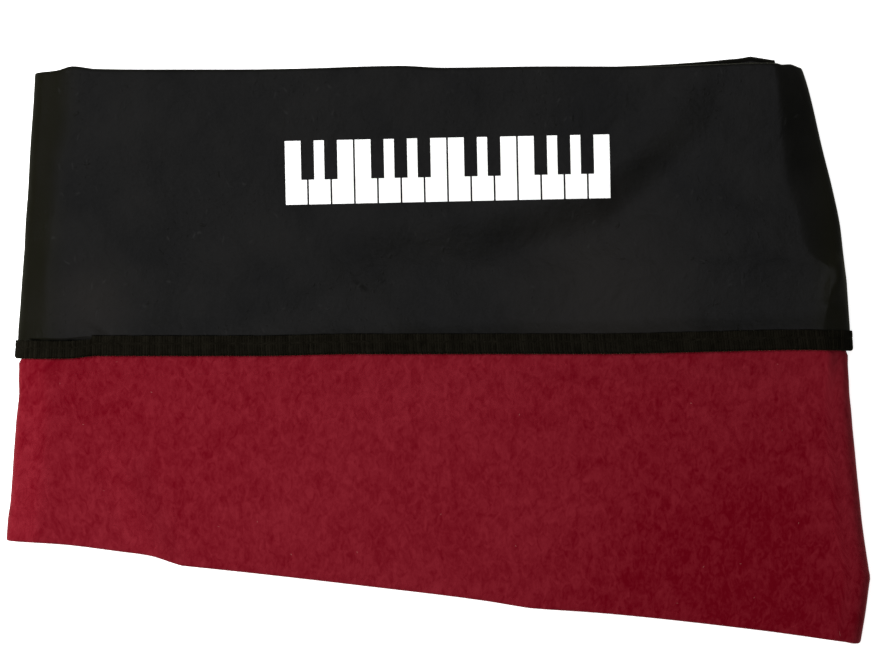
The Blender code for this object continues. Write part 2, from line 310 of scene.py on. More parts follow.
# Soft hollows and rises, and small creases, each along a line and as far to its sides as its reach
creases = (
    dict(line=((-24, 32), (-10, 18)), reach=19, height=-0.4),  # left of the middle
    dict(line=((140, 22), (160, 40)), reach=80, height=1.4),  # right of the middle
    dict(line=((-200, 50), (-165, 15)), reach=38, height=0.4),  # at the left
    dict(line=((221, 47), (219, 38), (216.5, 31)), reach=8.5, height=2.4),  # bulge at the right fold
    dict(line=((-154, -112), (-172, -66)), reach=15, height=0.9),  # from the pucker in the near fold
    dict(line=((-225, 5.9), (-206, 5.5), (-191, 6.9)), reach=0.9, height=-0.5),  # slit over the tape's end
    dict(line=((-192, 17), (-183, 11)), reach=4, height=-0.5),  # above the tape
)


def swell(x, y):
    away = (y - fallLine.read("y", x)) / fall["reach"]
    total = fall["height"] * fallLine.read("share", x) * away * smooth(1 - np.abs(away))
    for crease in creases:
        nearest = np.full(total.shape, np.inf)
        for a, b in zip(crease["line"], crease["line"][1:]):
            dx, dy = b[0] - a[0], b[1] - a[1]
            share = np.clip(((x - a[0]) * dx + (y - a[1]) * dy) / (dx * dx + dy * dy), 0, 1)
            nearest = np.minimum(nearest, np.hypot(x - a[0] - dx * share, y - a[1] - dy * share))
        total = total + smooth(1 - nearest / crease["reach"]) * crease["height"]
    return total


def rounded(value, squareness):  # a sine or cosine of a turn that is squarer than a circle
    return np.copysign(np.abs(value) ** squareness, value)


def plySquareness(column):  # the end of the middle third, which shows past the top one, is rounder
    square = lie["squareness"]["ply"]
    if column.third != "middle" or column.turn is not None:
        return square
    return mix(square, 1.0, smooth(2 * lengthShare(column.xAt(0)) - 1))


class Column:  # a line across the cloth's depth: on a third at a step, or round a side turn at an angle
    def __init__(self, third, step=None, turn=None):
        self.third = third
        self.step = step
        self.turn = turn

    def xAt(self, y):
        if self.turn is None:
            return along(self.step, y)
        marks = sideMarks(y)
        if self.third == "middle":
            return mix(marks[0], sides.read("left", y), self.rounds(math.sin(self.turn)))
        return mix(marks[3], sides.read("right", y), self.rounds(math.sin(self.turn)))

    def rounds(self, value):
        return rounded(value, lie["squareness"]["left" if self.third == "middle" else "right"])

    def line(self, of, y):
        x = self.xAt(y)
        if self.turn is None:
            return of(self.third, x)
        return mix(of("top", x), of(self.third, x), smooth(self.turn / math.pi))

    def depthMarks(self):  # near turn, tuck's end, rise, shell's hem, lining's hem and rear turn
        hem = self.line(hemLine, 0)
        near = self.line(nearLine, nearFold.read("y", self.xAt(lie["nearDepth"])))
        rear = self.line(rearLine, lie["rearDepth"])
        rise = hem - lie["tapeClear"]
        liningHem = hem + tape["width"] + layers["seamGap"]
        return np.array((near + half, rise - lie["ramp"], rise, hem + tapeEdge, liningHem, rear - half))

    def point(self, y, h):  # y and h are arrays of depths and of heights in the stack
        lift = h - half
        if self.turn is None:
            x = along(self.step, y)
            z = level(self.third, x, y) + (lift if self.third == "top" else -lift)
        elif self.third == "middle":
            start = sideMarks(y)[0]
            radius = pitch / 2
            x = start - (radius + lift) * self.rounds(math.sin(self.turn))
            z = level("middle", start, y) + radius + (radius + lift) * self.rounds(math.cos(self.turn))
            z = z + leftDrop(start, y) - leftDrop(x, y)
        else:
            crest, start = sideMarks(y)[2:]
            radius = rightTurn(y)
            past = (radius + lift) * self.rounds(math.sin(self.turn))
            x = start + past
            z = level("bottom", start, y) + radius + (radius + lift) * self.rounds(math.cos(self.turn))
            z = z - sides.read("drop", y) / (start - crest) * past * math.cos(self.turn / 2) ** 2
        z = z + swell(x, y) * (z / fullHeight) ** 2
        return np.stack((x - lie["middle"][0], y - lie["middle"][1], z), axis=-1) * mm


def stepsBetween(marks, count):  # so many equal steps between each two marks
    parts = [np.linspace(a, b, n + 1)[:-1] for a, b, n in zip(marks, marks[1:], count)]
    return list(np.concatenate(parts)) + [marks[-1]]


clothGrid = dict(
    # the marks between which columns or rows lie, and how many there are between each two
    top=((0, 1, 2, 3), (6, 190, 14)),  # left slope, between the crests, right slope
    middle=((0, 1, 1.9, 1.97, 2.2), (4, 22, 4, 6)),
    bottom=((1.01, 2, 3), (22, 4)),
    shell=dict(flap=((3, 3.7, 4, 4.02, 5), (3, 10, 8, 66)), panel=((5, 2, 1, 0), (8, 5, 5)), tuckSteps=5),
    lining=dict(flap=((4, 5), (48,)), panel=((5, 4, 2, 1, 0), (5, 3, 18, 52)), tuckSteps=6),
    tuckEnd=0.97,
    sideTurnSteps=16,
    plyTurnSteps=10,
    sharpFrom=60,  # degrees between two faces
)


def halfTurn(count):
    return [math.pi * k / count for k in range(1, count)]


def clothColumns():
    turns = halfTurn(clothGrid["sideTurnSteps"])
    middleThird = [Column("middle", s) for s in reversed(stepsBetween(*clothGrid["middle"]))]
    leftFold = [Column("middle", turn=t) for t in reversed(turns)]
    topThird = [Column("top", s) for s in stepsBetween(*clothGrid["top"])]
    rightFold = [Column("bottom", turn=t) for t in turns]
    bottomThird = [Column("bottom", s) for s in reversed(stepsBetween(*clothGrid["bottom"]))]
    return middleThird + leftFold + topThird + rightFold + bottomThird


def clothRows(flap, panel, tuckSteps):
    # each row is the stretch it lies on and its place there: flap, rear turn, panel, near turn and tuck
    angles = halfTurn(clothGrid["plyTurnSteps"])
    return (
        [("flap", m) for m in stepsBetween(*flap)]
        + [("rear turn", a) for a in angles]
        + [("panel", m) for m in stepsBetween(*panel)]
        + [("near turn", a) for a in angles]
        + [("tuck", m) for m in stepsBetween((0, clothGrid["tuckEnd"]), (tuckSteps,))]
    )


def clothSection(column, rows, offset):  # depth and height in the stack of every row
    marks = column.depthMarks()
    low, high = ply / 2, stack - ply / 2
    kinds = np.array([kind for kind, value in rows])
    value = np.array([value for kind, value in rows])
    y = np.interp(value, range(len(marks)), marks)
    h = np.where(kinds == "flap", high + offset, low + offset)
    h = np.where(kinds == "panel", mix(high, low, smooth(value - 1)) - offset, h)
    rear = kinds == "rear turn"
    near = kinds == "near turn"
    depth = rounded(np.sin(value), plySquareness(column))
    height = rounded(np.cos(value), plySquareness(column))
    y = np.where(rear, marks[5] + (plyTurn + offset) * depth, y)
    h = np.where(rear, half + (plyTurn + offset) * height, h)
    y = np.where(near, marks[0] - (plyTurn - offset) * depth, y)
    h = np.where(near, half + (plyTurn - offset) * height, h)
    return y, h


def fromMiddle(column):  # how far a line of the top third is from the middle of the cloth
    return abs(column.xAt(0)) if column.third == "top" else 2 * abs(sides.read("left", 0))


def newObject(name, data):
    made = bpy.data.objects.new(name, data)
    bpy.context.scene.collection.objects.link(made)
    return made


def sheetMesh(name, columns, rows, section, low, high):
    # two faces of a grid and the rim between them, with the flat cloth's own place in metres as its UV map
    faces = [np.array([c.point(*section(c, rows, o)) for c in columns]) for o in (low, high)]
    wide, deep = len(columns), len(rows)
    middle = (faces[0] + faces[1]) / 2
    stepU = np.linalg.norm(np.diff(middle, axis=0), axis=2)
    stepV = np.linalg.norm(np.diff(middle, axis=1), axis=2)
    u = np.concatenate((np.zeros((1, deep)), np.cumsum(stepU, axis=0)))
    v = np.concatenate((np.zeros((wide, 1)), np.cumsum(stepV, axis=1)), axis=1)
    u = u - u[columns.index(min(columns, key=fromMiddle))]
    lowGrid, highGrid = np.arange(2 * wide * deep).reshape(2, wide, deep)
    quads = []
    for grid, flip in ((highGrid, False), (lowGrid, True)):
        corner = (grid[:-1, :-1], grid[1:, :-1], grid[1:, 1:], grid[:-1, 1:])
        if flip:
            corner = (corner[0], corner[3], corner[2], corner[1])
        quads.append(np.stack(corner, axis=-1).reshape(-1, 4))
    rims = ((lowGrid[:, 0], highGrid[:, 0]), (highGrid[:, -1], lowGrid[:, -1]),
            (highGrid[0], lowGrid[0]), (lowGrid[-1], highGrid[-1]))
    for a, b in rims:
        quads.append(np.stack((a[:-1], a[1:], b[1:], b[:-1]), axis=-1))
    quads = np.concatenate(quads)
    mesh = bpy.data.meshes.new(name)
    mesh.from_pydata(np.concatenate([f.reshape(-1, 3) for f in faces]), [], quads.tolist())
    flat = np.concatenate((np.stack((u, v), axis=-1).reshape(-1, 2),) * 2)
    uv = mesh.uv_layers.new(name="flatCloth")
    uv.data.foreach_set("uv", flat[quads.reshape(-1)].reshape(-1).astype(np.float32))
    mesh.validate()
    mesh.shade_smooth()
    mesh.set_sharp_from_angle(angle=math.radians(clothGrid["sharpFrom"]))
    return newObject(name, mesh)


class Value:  # a socket that takes part in sums
    def __init__(self, shader, socket):
        self.shader = shader
        self.socket = socket

    def combine(self, operation, *others):
        return self.shader.node("ShaderNodeMath", {"operation": operation}, dict(enumerate((self, *others))))

    def __add__(self, other):
        return self.combine("ADD", other)

    def __sub__(self, other):
        return self.combine("SUBTRACT", other)

    def __mul__(self, other):
        return self.combine("MULTIPLY", other)

    def __truediv__(self, other):
        return self.combine("DIVIDE", other)

    def __rsub__(self, other):
        return self.shader.node("ShaderNodeMath", {"operation": "SUBTRACT"}, {0: other, 1: self})

    __radd__ = __add__
    __rmul__ = __mul__

    def sine(self):
        return self.combine("SINE")

    def cosine(self):
        return self.combine("COSINE")

    def nearest(self):  # whole number nearest to it
        return self.combine("ROUND")

    def rest(self, other):  # what is left when divided
        return self.combine("FLOORED_MODULO", other)

    def absolute(self):
        return self.combine("ABSOLUTE")

    def above(self, other):
        return self.combine("GREATER_THAN", other)

    def below(self, other):
        return self.combine("LESS_THAN", other)

    def clipped(self):
        return self.shader.node("ShaderNodeClamp", {}, {"Value": self})

    def between(self, low, high):  # 0 below low, 1 above high
        return self.shader.node("ShaderNodeMapRange", {"interpolation_type": "SMOOTHSTEP"},
                                {"Value": self, "From Min": low, "From Max": high})


tick = dict(bend=0.7, full=0.2, least=0.3)  # a wrinkle's bend, its unfaded share and its least strength


class Shader:
    def __init__(self, name):
        self.material = bpy.data.materials.new(name)
        self.material.use_nodes = True
        self.tree = self.material.node_tree
        self.surface = self.tree.nodes["Principled BSDF"]

    def node(self, kind, settings, sockets, output=0):
        made = self.tree.nodes.new(kind)
        for key, value in settings.items():
            setattr(made, key, value)
        for key, value in sockets.items():
            self.feed(made.inputs[key], value)
        return Value(self, made.outputs[output])

    def feed(self, socket, value):
        if isinstance(value, Value):
            self.tree.links.new(value.socket, socket)
        else:
            socket.default_value = value

    def set(self, **sockets):
        for key, value in sockets.items():
            self.feed(self.surface.inputs[key.replace("_", " ")], value)
        return self.material

    def parts(self, vector, kind="ShaderNodeSeparateXYZ"):
        made = self.tree.nodes.new(kind)
        self.tree.links.new(vector.socket, made.inputs[0])
        return [Value(self, made.outputs[k]) for k in range(3)]

    def flatPlace(self):  # x and y of the flat cloth, in millimetres
        uv = self.node("ShaderNodeUVMap", {"uv_map": "flatCloth"}, {})
        scaled = self.node("ShaderNodeVectorMath", {"operation": "SCALE"}, {0: uv, "Scale": 1 / mm})
        return scaled, *self.parts(scaled)[:2]

    def objectPlace(self):  # the same as the frame's, in metres, as all pieces lie at the origin
        return self.node("ShaderNodeTexCoord", {}, {}, output=3)

    def framePlace(self):  # x, y and z of the frame, in millimetres
        place = self.objectPlace()
        return self.node("ShaderNodeVectorMath", {"operation": "SCALE"}, {0: place, "Scale": 1 / mm})

    def around(self, middle, reach, height=9.0):  # 1 at a place in the pile, 0 beyond its reach
        away = self.node("ShaderNodeVectorMath", {"operation": "DISTANCE"},
                         {0: self.framePlace(), 1: (*middle, height)}, output=1)
        return 1 - away.between(0, reach)

    def stretched(self, place, across, along):
        return self.node("ShaderNodeVectorMath", {"operation": "MULTIPLY"}, {0: place, 1: (across, along, 1)})

    def ticks(self, place, cell, length, width, share, stretch=None):
        # at most one short wrinkle in each cell, each of them turned and bent its own way
        if stretch:
            place = self.stretched(place, *stretch)
        cells = self.tree.nodes.new("ShaderNodeTexVoronoi")
        cells.voronoi_dimensions = "2D"
        self.feed(cells.inputs["Vector"], place)
        cells.inputs["Scale"].default_value = 1 / cell
        away = self.node("ShaderNodeVectorMath", {"operation": "SUBTRACT"},
                         {0: place, 1: Value(self, cells.outputs["Position"])})
        x, y = self.parts(away)[:2]
        turn, chosen, strength = self.parts(Value(self, cells.outputs["Color"]), "ShaderNodeSeparateColor")
        angle = turn * 2 * math.pi
        along = y * angle.cosine() - x * angle.sine()
        bend = (strength - 0.5) * (tick["bend"] / length)
        across = x * angle.cosine() + y * angle.sine() + along * along * bend
        ridge = 1 - across.absolute().between(0, width)
        ridge = ridge * (1 - along.absolute().between(length * tick["full"], length))
        return ridge * chosen.above(1 - share) * (strength + tick["least"])

    def noise(self, place, size, detail=2.0, roughness=0.5, distortion=0.0, stretch=None):
        if stretch:
            place = self.stretched(place, *stretch)
        return self.node("ShaderNodeTexNoise", {}, {"Vector": place, "Scale": 1 / size, "Detail": detail,
                                                    "Roughness": roughness, "Distortion": distortion})

    def blend(self, share, a, b):  # inputs 6 and 7 of the node are colours, and so is output 2
        colours = {6: (*a, 1) if isinstance(a, tuple) else a, 7: (*b, 1) if isinstance(b, tuple) else b}
        return self.node("ShaderNodeMix", {"data_type": "RGBA"}, {0: share, **colours}, output=2)

    def bump(self, height):  # in millimetres
        return self.node("ShaderNodeBump", {}, {"Height": height, "Distance": mm, "Strength": 1.0})


nylon = dict(
    dark=(0.0022, 0.0022, 0.0018),
    light=(0.0055, 0.0053, 0.0047),
    # the next colour is painted sheen, for the paler patches listed below
    paintedSheen=(0.0091, 0.0080, 0.0068),
    side=(0.0044, 0.0042, 0.0014),  # painted sheen, olive and a little paler, by the two end folds
    sides=(200, 218, 0.6),  # where it starts, is full, and how much of it
    leftRear=(95, 130, 7),  # there it starts nearer to the middle
    paintedRearShade=(0.0014, 0.0013, 0.0008),  # painted shade at the rear edge of the thirds underneath
    paintedGlint=(0.019, 0.019, 0.018),  # painted glints: small pale marks where tiny folds catch the light
    paintedGlintShare=0.3,
    gloss=0.082,
    glossTint=(0.87, 0.88, 1.0, 1.0),
    rim=0.07,
    rimRoughness=0.4,
    rimTint=(1.0, 1.0, 0.6, 1.0),
    roughness=(0.38, 0.46),
    duller=0.6,  # how much of the gloss the thirds underneath lose
    thread=0.42,
    # the patterns, with the size of a patch, a cell or a wrinkle in millimetres
    patches=dict(size=38, detail=3, roughness=0.55),
    grain=dict(size=1.6, detail=3, roughness=0.6),
    toneMix=dict(patches=0.7, grain=0.3),
    toneRange=(0.3, 0.7),
    creased=dict(size=45, detail=1),
    creasedRange=(0.40, 0.62),
    small=dict(cell=5.0, length=1.2, width=0.7, share=0.7),
    large=dict(cell=15.0, length=2.6, width=1.1, share=0.45),
    # where the painted glints lie
    glintTicks=dict(cell=8.0, length=1.7, width=0.7, share=0.4, stretch=(1.0, 0.6)),
    broad=dict(size=26, detail=3, roughness=0.55, distortion=0.3),
    dents=dict(size=5, detail=3, roughness=0.6, distortion=0.5, stretch=(1.0, 0.7)),
    uneven=dict(size=10, detail=1),  # along the painted shadow lines
    unevenRange=(0.35, 0.6),
    unevenLeast=0.4,
    heights=dict(broad=0.9, small=0.07, large=0.14, weave=0.004, dents=0.14, grain=0.05),
    paintedLight=(  # painted sheen: where it is a little paler, in the frame's x and y
        dict(middle=(92, 30), reach=80, share=0.75),
        dict(middle=(-190, 26), reach=38, share=0.8),
    ),
    lineEnd=3.0,  # a dark line fades over this at either end
    paintedShadowLines=(  # painted shadow: in the slit above the tape's lower end, and on a short crease
        dict(middle=(-206.3, 5.05), turn=1, bend=0.0036, length=18.5, width=(0.3, 0.9), share=1.0),
        dict(middle=(-42.0, 35.3), turn=-37, bend=0.0, length=6.0, width=(0.2, 2.0), share=0.28),
    ),
    seam=dict(off=0.3, width=(0.2, 0.6), share=0.8, start=-189.5),  # painted shadow line along the tape's upper edge
)
strip = dict(  # white piano keys printed on the top, in the frame's x and y
    middle=(5.7, 98.9),
    slope=0.021,
    size=(179.0, 35.0),
    keys=14,
    gap=0.5,  # half the line between two keys
    blackKey=(3.6, -4.0),  # half its width, and where it ends
    thickness=0.04,
    white=(0.90, 0.90, 0.89),
    topOnly=(240.0, 152.0),  # flat cloth that is on top, past which nothing is printed
)


def topOf(u, v):  # 1 on the cloth that shows on top, 0 on the rest
    return u.absolute().below(strip["topOnly"][0]) * v.above(0) * v.below(strip["topOnly"][1])


def paintedShadowLines(s, place, v):  # 1 on the painted shadow lines
    x, y = s.parts(s.framePlace())[:2]
    seam = nylon["seam"]
    away = (v - (tape["width"] - tapeEdge + seam["off"])).absolute()
    total = (1 - away.between(*seam["width"])) * x.above(seam["start"]) * seam["share"]
    for line in nylon["paintedShadowLines"]:
        across, forward = x - line["middle"][0], y - line["middle"][1]
        turn = math.radians(line["turn"])
        along = across * math.cos(turn) + forward * math.sin(turn)
        away = (forward * math.cos(turn) - across * math.sin(turn) - along * along * line["bend"]).absolute()
        ended = along.absolute().between(line["length"] - nylon["lineEnd"], line["length"])
        total = total + (1 - away.between(*line["width"])) * (1 - ended) * line["share"]
    least = nylon["unevenLeast"]
    uneven = s.noise(place, **nylon["uneven"]).between(*nylon["unevenRange"]) * (1 - least) + least
    return (total * uneven).clipped()


def keyboardPrint(s):  # 1 on the white keys
    x, y = s.parts(s.framePlace())[:2]
    x = x - strip["middle"][0]
    y = y - strip["middle"][1] - x * strip["slope"]
    across, along = strip["size"]
    key = across / strip["keys"]
    shifted = x + y * strip["slope"] + across / 2
    line = (shifted / key).nearest()
    away = (shifted - line * key).absolute()
    note = line.rest(7)  # no black key lies at the lines 0 and 3 of an octave's seven
    width, end = strip["blackKey"]
    black = note.above(0.5) * (note - 3).absolute().above(0.5) * away.below(width) * y.above(end)
    inside = (shifted - across / 2).absolute().below(across / 2 - strip["gap"])
    return inside * y.absolute().below(along / 2) * away.above(strip["gap"]) * (1 - black)


def nylonMaterial():
    s = Shader("blackCoatedNylon")
    place, u, v = s.flatPlace()
    patches = s.noise(place, **nylon["patches"])
    grain = s.noise(place, **nylon["grain"])
    mixed = nylon["toneMix"]
    tone = (patches * mixed["patches"] + grain * mixed["grain"]).between(*nylon["toneRange"])
    turns = 2 * math.pi / nylon["thread"]
    weave = (u * turns).sine() * (v * turns).sine()
    creased = s.noise(place, **nylon["creased"]).between(*nylon["creasedRange"])
    small = s.ticks(place, **nylon["small"])
    large = s.ticks(place, **nylon["large"])
    glintTicks = s.ticks(place, **nylon["glintTicks"]) * creased
    broad = s.noise(place, **nylon["broad"])
    dents = s.noise(place, **nylon["dents"])
    rise = nylon["heights"]
    height = broad * rise["broad"] + (small * rise["small"] + large * rise["large"]) * creased
    height = height + weave * rise["weave"] + dents * rise["dents"] + grain * rise["grain"]
    onTop = topOf(u, v)
    printed = keyboardPrint(s) * onTop
    # Painted shadow in the slit, on the crease and along the tape's upper edge, blended to black below
    dark = paintedShadowLines(s, place, v) * onTop
    colour = s.blend(tone, nylon["dark"], nylon["light"])
    # Painted sheen: olive and a little paler towards the two end folds
    start, full, share = nylon["sides"]
    x, y, z = s.parts(s.framePlace())
    low, high, nearer = nylon["leftRear"]
    outward = x.absolute() + y.between(low, high) * x.below(0) * nearer
    colour = s.blend(outward.between(start, full) * share, colour, nylon["side"])
    # Painted shade on the rear edges of the thirds underneath, which turn away from the light; they are also
    # made rougher
    rearShadeMask = z.below(pitch + stack) * y.above(rearFold.read("y", 0) - plyTurn)
    colour = s.blend(rearShadeMask, colour, nylon["paintedRearShade"])
    # Painted sheen: paler patches where more light falls on the black cloth
    for paintedLight in nylon["paintedLight"]:
        colour = s.blend(s.around(paintedLight["middle"], paintedLight["reach"]) * paintedLight["share"], colour, nylon["paintedSheen"])
    # Painted glints where tiny folds catch the light
    colour = s.blend(glintTicks.clipped() * nylon["paintedGlintShare"], colour, nylon["paintedGlint"])
    colour = s.blend(dark, s.blend(printed, colour, strip["white"]), (0.0, 0.0, 0.0))
    low, high = nylon["roughness"]
    roughness = low + (high - low) * patches
    return s.set(
        Base_Color=colour,
        Roughness=roughness + (1 - roughness) * (dark + rearShadeMask * nylon["duller"]),
        Specular_IOR_Level=nylon["gloss"],
        Specular_Tint=nylon["glossTint"],
        Sheen_Weight=nylon["rim"],
        Sheen_Roughness=nylon["rimRoughness"],
        Sheen_Tint=nylon["rimTint"],
        Normal=s.bump(height + printed * strip["thickness"]),
    )


suede = dict(
    dark=(0.092, 0.0006, 0.0042),
    light=(0.157, 0.0102, 0.0170),
    lint=(0.30, 0.12, 0.11),
    lintShare=0.5,
    # the patterns, with the size of a patch, a cell or a fibre in millimetres
    broad=dict(size=70, detail=2, roughness=0.5),
    patches=dict(size=8.5, detail=3, roughness=0.6, distortion=0.6, stretch=(1.0, 0.75)),
    dabs=dict(size=4.6, detail=2, roughness=0.55, distortion=1.1, stretch=(1.3, 0.8)),
    nap=dict(size=1.4, detail=2, roughness=0.6, stretch=(1.0, 0.6)),
    fibres=dict(cell=18.0, length=0.7, width=0.28, share=0.15),
    toneMix=dict(broad=0.16, patches=0.28, dabs=0.40, nap=0.17),
    toneRange=(0.27, 0.73),
    heights=dict(nap=0.05, patches=0.12),
    paintedLight=(  # painted light and shade: where the red is made paler or darker, mostly darker towards the lower right, in the frame's x and y
        dict(middle=(182, -124), reach=110, tone=-0.30),
        dict(middle=(130, -100), reach=190, tone=-0.16),
        dict(middle=(-215, -40), reach=110, tone=-0.12),
        dict(middle=(-200, -105), reach=80, tone=0.12),
        dict(middle=(20, -60), reach=190, tone=0.08),
        dict(middle=(235, -80), reach=60, tone=0.25),
    ),
    gloss=0.010,
    rim=0.18,
    rimRoughness=0.4,
    rimTint=(1.0, 0.6, 0.55, 1.0),
    roughness=0.92,
)


def suedeMaterial():
    s = Shader("redSuedeCloth")
    place = s.flatPlace()[0]
    broad = s.noise(place, **suede["broad"])
    patches = s.noise(place, **suede["patches"])
    dabs = s.noise(place, **suede["dabs"])
    nap = s.noise(place, **suede["nap"])
    mixed = suede["toneMix"]
    tone = broad * mixed["broad"] + patches * mixed["patches"] + dabs * mixed["dabs"] + nap * mixed["nap"]
    tone = tone.between(*suede["toneRange"])
    # Painted light and shade: patches that darken or lighten the red
    for paintedLight in suede["paintedLight"]:
        tone = tone + s.around(paintedLight["middle"], paintedLight["reach"]) * paintedLight["tone"]
    colour = s.blend(tone, suede["dark"], suede["light"])
    lint = s.ticks(place, **suede["fibres"]).clipped() * suede["lintShare"]
    return s.set(
        Base_Color=s.blend(lint, colour, suede["lint"]),
        Roughness=suede["roughness"],
        Specular_IOR_Level=suede["gloss"],
        Sheen_Weight=suede["rim"],
        Sheen_Roughness=suede["rimRoughness"],
        Sheen_Tint=suede["rimTint"],
        Normal=s.bump(nap * suede["heights"]["nap"] + patches * suede["heights"]["patches"]),
    )


webbing = dict(
    dark=(0.0014, 0.0012, 0.0007),
    light=(0.0068, 0.0060, 0.0040),
    fibre=dict(size=0.0006, detail=2, roughness=0.6),  # in metres, as the place it is read at
    patches=dict(size=0.005, detail=2, roughness=0.6),
    toneRange=(0.2, 0.8),
    ownTone=0.8,  # how much each thread differs, over half of the common tone
    fibreHeight=0.08,
    gloss=0.012,
    rim=0.06,
    rimRoughness=0.3,
    rimTint=(1.0, 1.0, 0.5, 1.0),
    roughness=0.7,
)


def webbingMaterial(name, attribute=None):  # the attribute, if any, gives each thread a tone of its own
    s = Shader(name)
    place = s.objectPlace()
    fibre = s.noise(place, **webbing["fibre"])
    patches = s.noise(place, **webbing["patches"])
    tone = (fibre * 0.5 + patches * 0.5).between(*webbing["toneRange"])
    if attribute:
        own = s.node("ShaderNodeAttribute", {"attribute_name": attribute}, {}, output=2)
        tone = tone * 0.5 + own * own * webbing["ownTone"]
    return s.set(
        Base_Color=s.blend(tone, webbing["dark"], webbing["light"]),
        Roughness=webbing["roughness"],
        Specular_IOR_Level=webbing["gloss"],
        Sheen_Weight=webbing["rim"],
        Sheen_Roughness=webbing["rimRoughness"],
        Sheen_Tint=webbing["rimTint"],
        Normal=s.bump(fibre * webbing["fibreHeight"]),
    )


def finished(piece, material, node=None):
    if material:
        piece.data.materials.append(material)
    if node:
        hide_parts(node)
    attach(piece, "root")


columns = clothColumns()
shellRows = clothRows(**clothGrid["shell"])
shell = sheetMesh("shellCloth", columns, shellRows, clothSection, layers["drawnSeam"] / 2, ply / 2)
finished(shell, nylonMaterial(), "shell")
print("shell", len(shell.data.polygons))

liningRows = clothRows(**clothGrid["lining"])
lining = sheetMesh("liningCloth", columns, liningRows, clothSection, -ply / 2, -layers["drawnSeam"] / 2)
finished(lining, suedeMaterial(), "lining")
print("lining", len(lining.data.polygons))


# The end of the tape, left of its join, lies a little lower and shows less of its width
tapeLie = FoldTable(
    "x shift width",
    (-240, -0.2, 10.1),
    (-215, -0.5, 9.7),
    (-200, -0.4, 9.6),
    (-190.8, -0.2, 9.2),
    (-190.0, 0.0, 11.0),
    (240, 0.0, 11.0),
)


def tapeRows():
    count = tape["turnSteps"]
    turns = [("turn", math.pi * k / count) for k in range(count + 1)]
    return [("face", share) for share in tape["faceSteps"]] + turns + [("back", 1)]


def tapeEdgeOf(column):  # where its front edge lies, and its width there
    edge = column.line(hemLine, 0)
    if column.third == "bottom":
        return edge, tape["width"]
    x = column.xAt(0)
    return edge + float(tapeLie.read("shift", x)), float(tapeLie.read("width", x))


def tapeSection(column, rows, offset):
    edge, width = tapeEdgeOf(column)
    shellMiddle = stack - layers["sheet"] / 2
    radius = tapeTurn + offset
    kinds = np.array([kind for kind, value in rows])
    value = np.array([value for kind, value in rows])
    y = np.where(kinds == "turn", edge + tapeEdge - radius * np.sin(value), edge + value * width)
    h = np.where(kinds == "turn", shellMiddle + radius * np.cos(value), shellMiddle + radius)
    h = np.where(kinds == "back", shellMiddle - radius, h)
    return y, h


join = tape["join"]
joinSteps = [join["start"] + join["gap"] * k for k in range(join["count"])]
tapeColumns = [c for c in columns if c.third != "top" or not joinSteps[0] <= (c.step or 0) <= joinSteps[-1]]
first = next(k for k, c in enumerate(tapeColumns) if c.third == "top" and (c.step or 0) > joinSteps[-1])
tapeColumns[first:first] = [Column("top", step) for step in joinSteps]
binding = sheetMesh("bindingTape", tapeColumns, tapeRows(), tapeSection, tape["inside"], tape["outside"])
finished(binding, webbingMaterial("ribbedTape"), "binding")
print("tape", len(binding.data.polygons))


class Growth:  # a Geometry Nodes tree, built node by node
    def __init__(self, name):
        self.tree = bpy.data.node_groups.new(name, "GeometryNodeTree")
        self.tree.interface.new_socket(name="Geometry", in_out="INPUT", socket_type="NodeSocketGeometry")
        self.tree.interface.new_socket(name="Geometry", in_out="OUTPUT", socket_type="NodeSocketGeometry")
        self.settings = {}

    def setting(self, name, kind, value):
        made = self.tree.interface.new_socket(name=name, in_out="INPUT", socket_type="NodeSocket" + kind)
        self.settings[made.identifier] = value

    def start(self):
        self.given = self.tree.nodes.new("NodeGroupInput").outputs
        return self.given

    def node(self, kind, settings, sockets, output=0):
        made = self.tree.nodes.new(kind)
        for key, value in settings.items():
            setattr(made, key, value)
        for key, value in sockets.items():
            if isinstance(value, bpy.types.NodeSocket):
                self.tree.links.new(value, made.inputs[key])
            else:
                made.inputs[key].default_value = value
        return made.outputs[output]

    def grow(self, piece, result):
        self.tree.links.new(result, self.tree.nodes.new("NodeGroupOutput").inputs[0])
        modifier = piece.modifiers.new(self.tree.name, "NODES")
        modifier.node_group = self.tree
        for identifier, value in self.settings.items():
            modifier[identifier] = value
        graph = bpy.context.evaluated_depsgraph_get()
        mesh = bpy.data.meshes.new_from_object(piece.evaluated_get(graph))
        piece.modifiers.clear()
        piece.data = mesh


def linesMesh(name, lines, attributes):  # polylines of points, with attributes of those points
    count, size = lines.shape[:2]
    index = np.arange(count * size).reshape(count, size)
    edges = np.stack((index[:, :-1], index[:, 1:]), axis=-1).reshape(-1, 2)
    mesh = bpy.data.meshes.new(name)
    mesh.from_pydata(lines.reshape(-1, 3), edges.tolist(), [])
    for label, values in attributes.items():
        flat = values.ndim == 2
        made = mesh.attributes.new(label, "FLOAT" if flat else "FLOAT_VECTOR", "POINT")
        made.data.foreach_set("value" if flat else "vector", values.reshape(-1).astype(np.float32))
    return newObject(name, mesh)


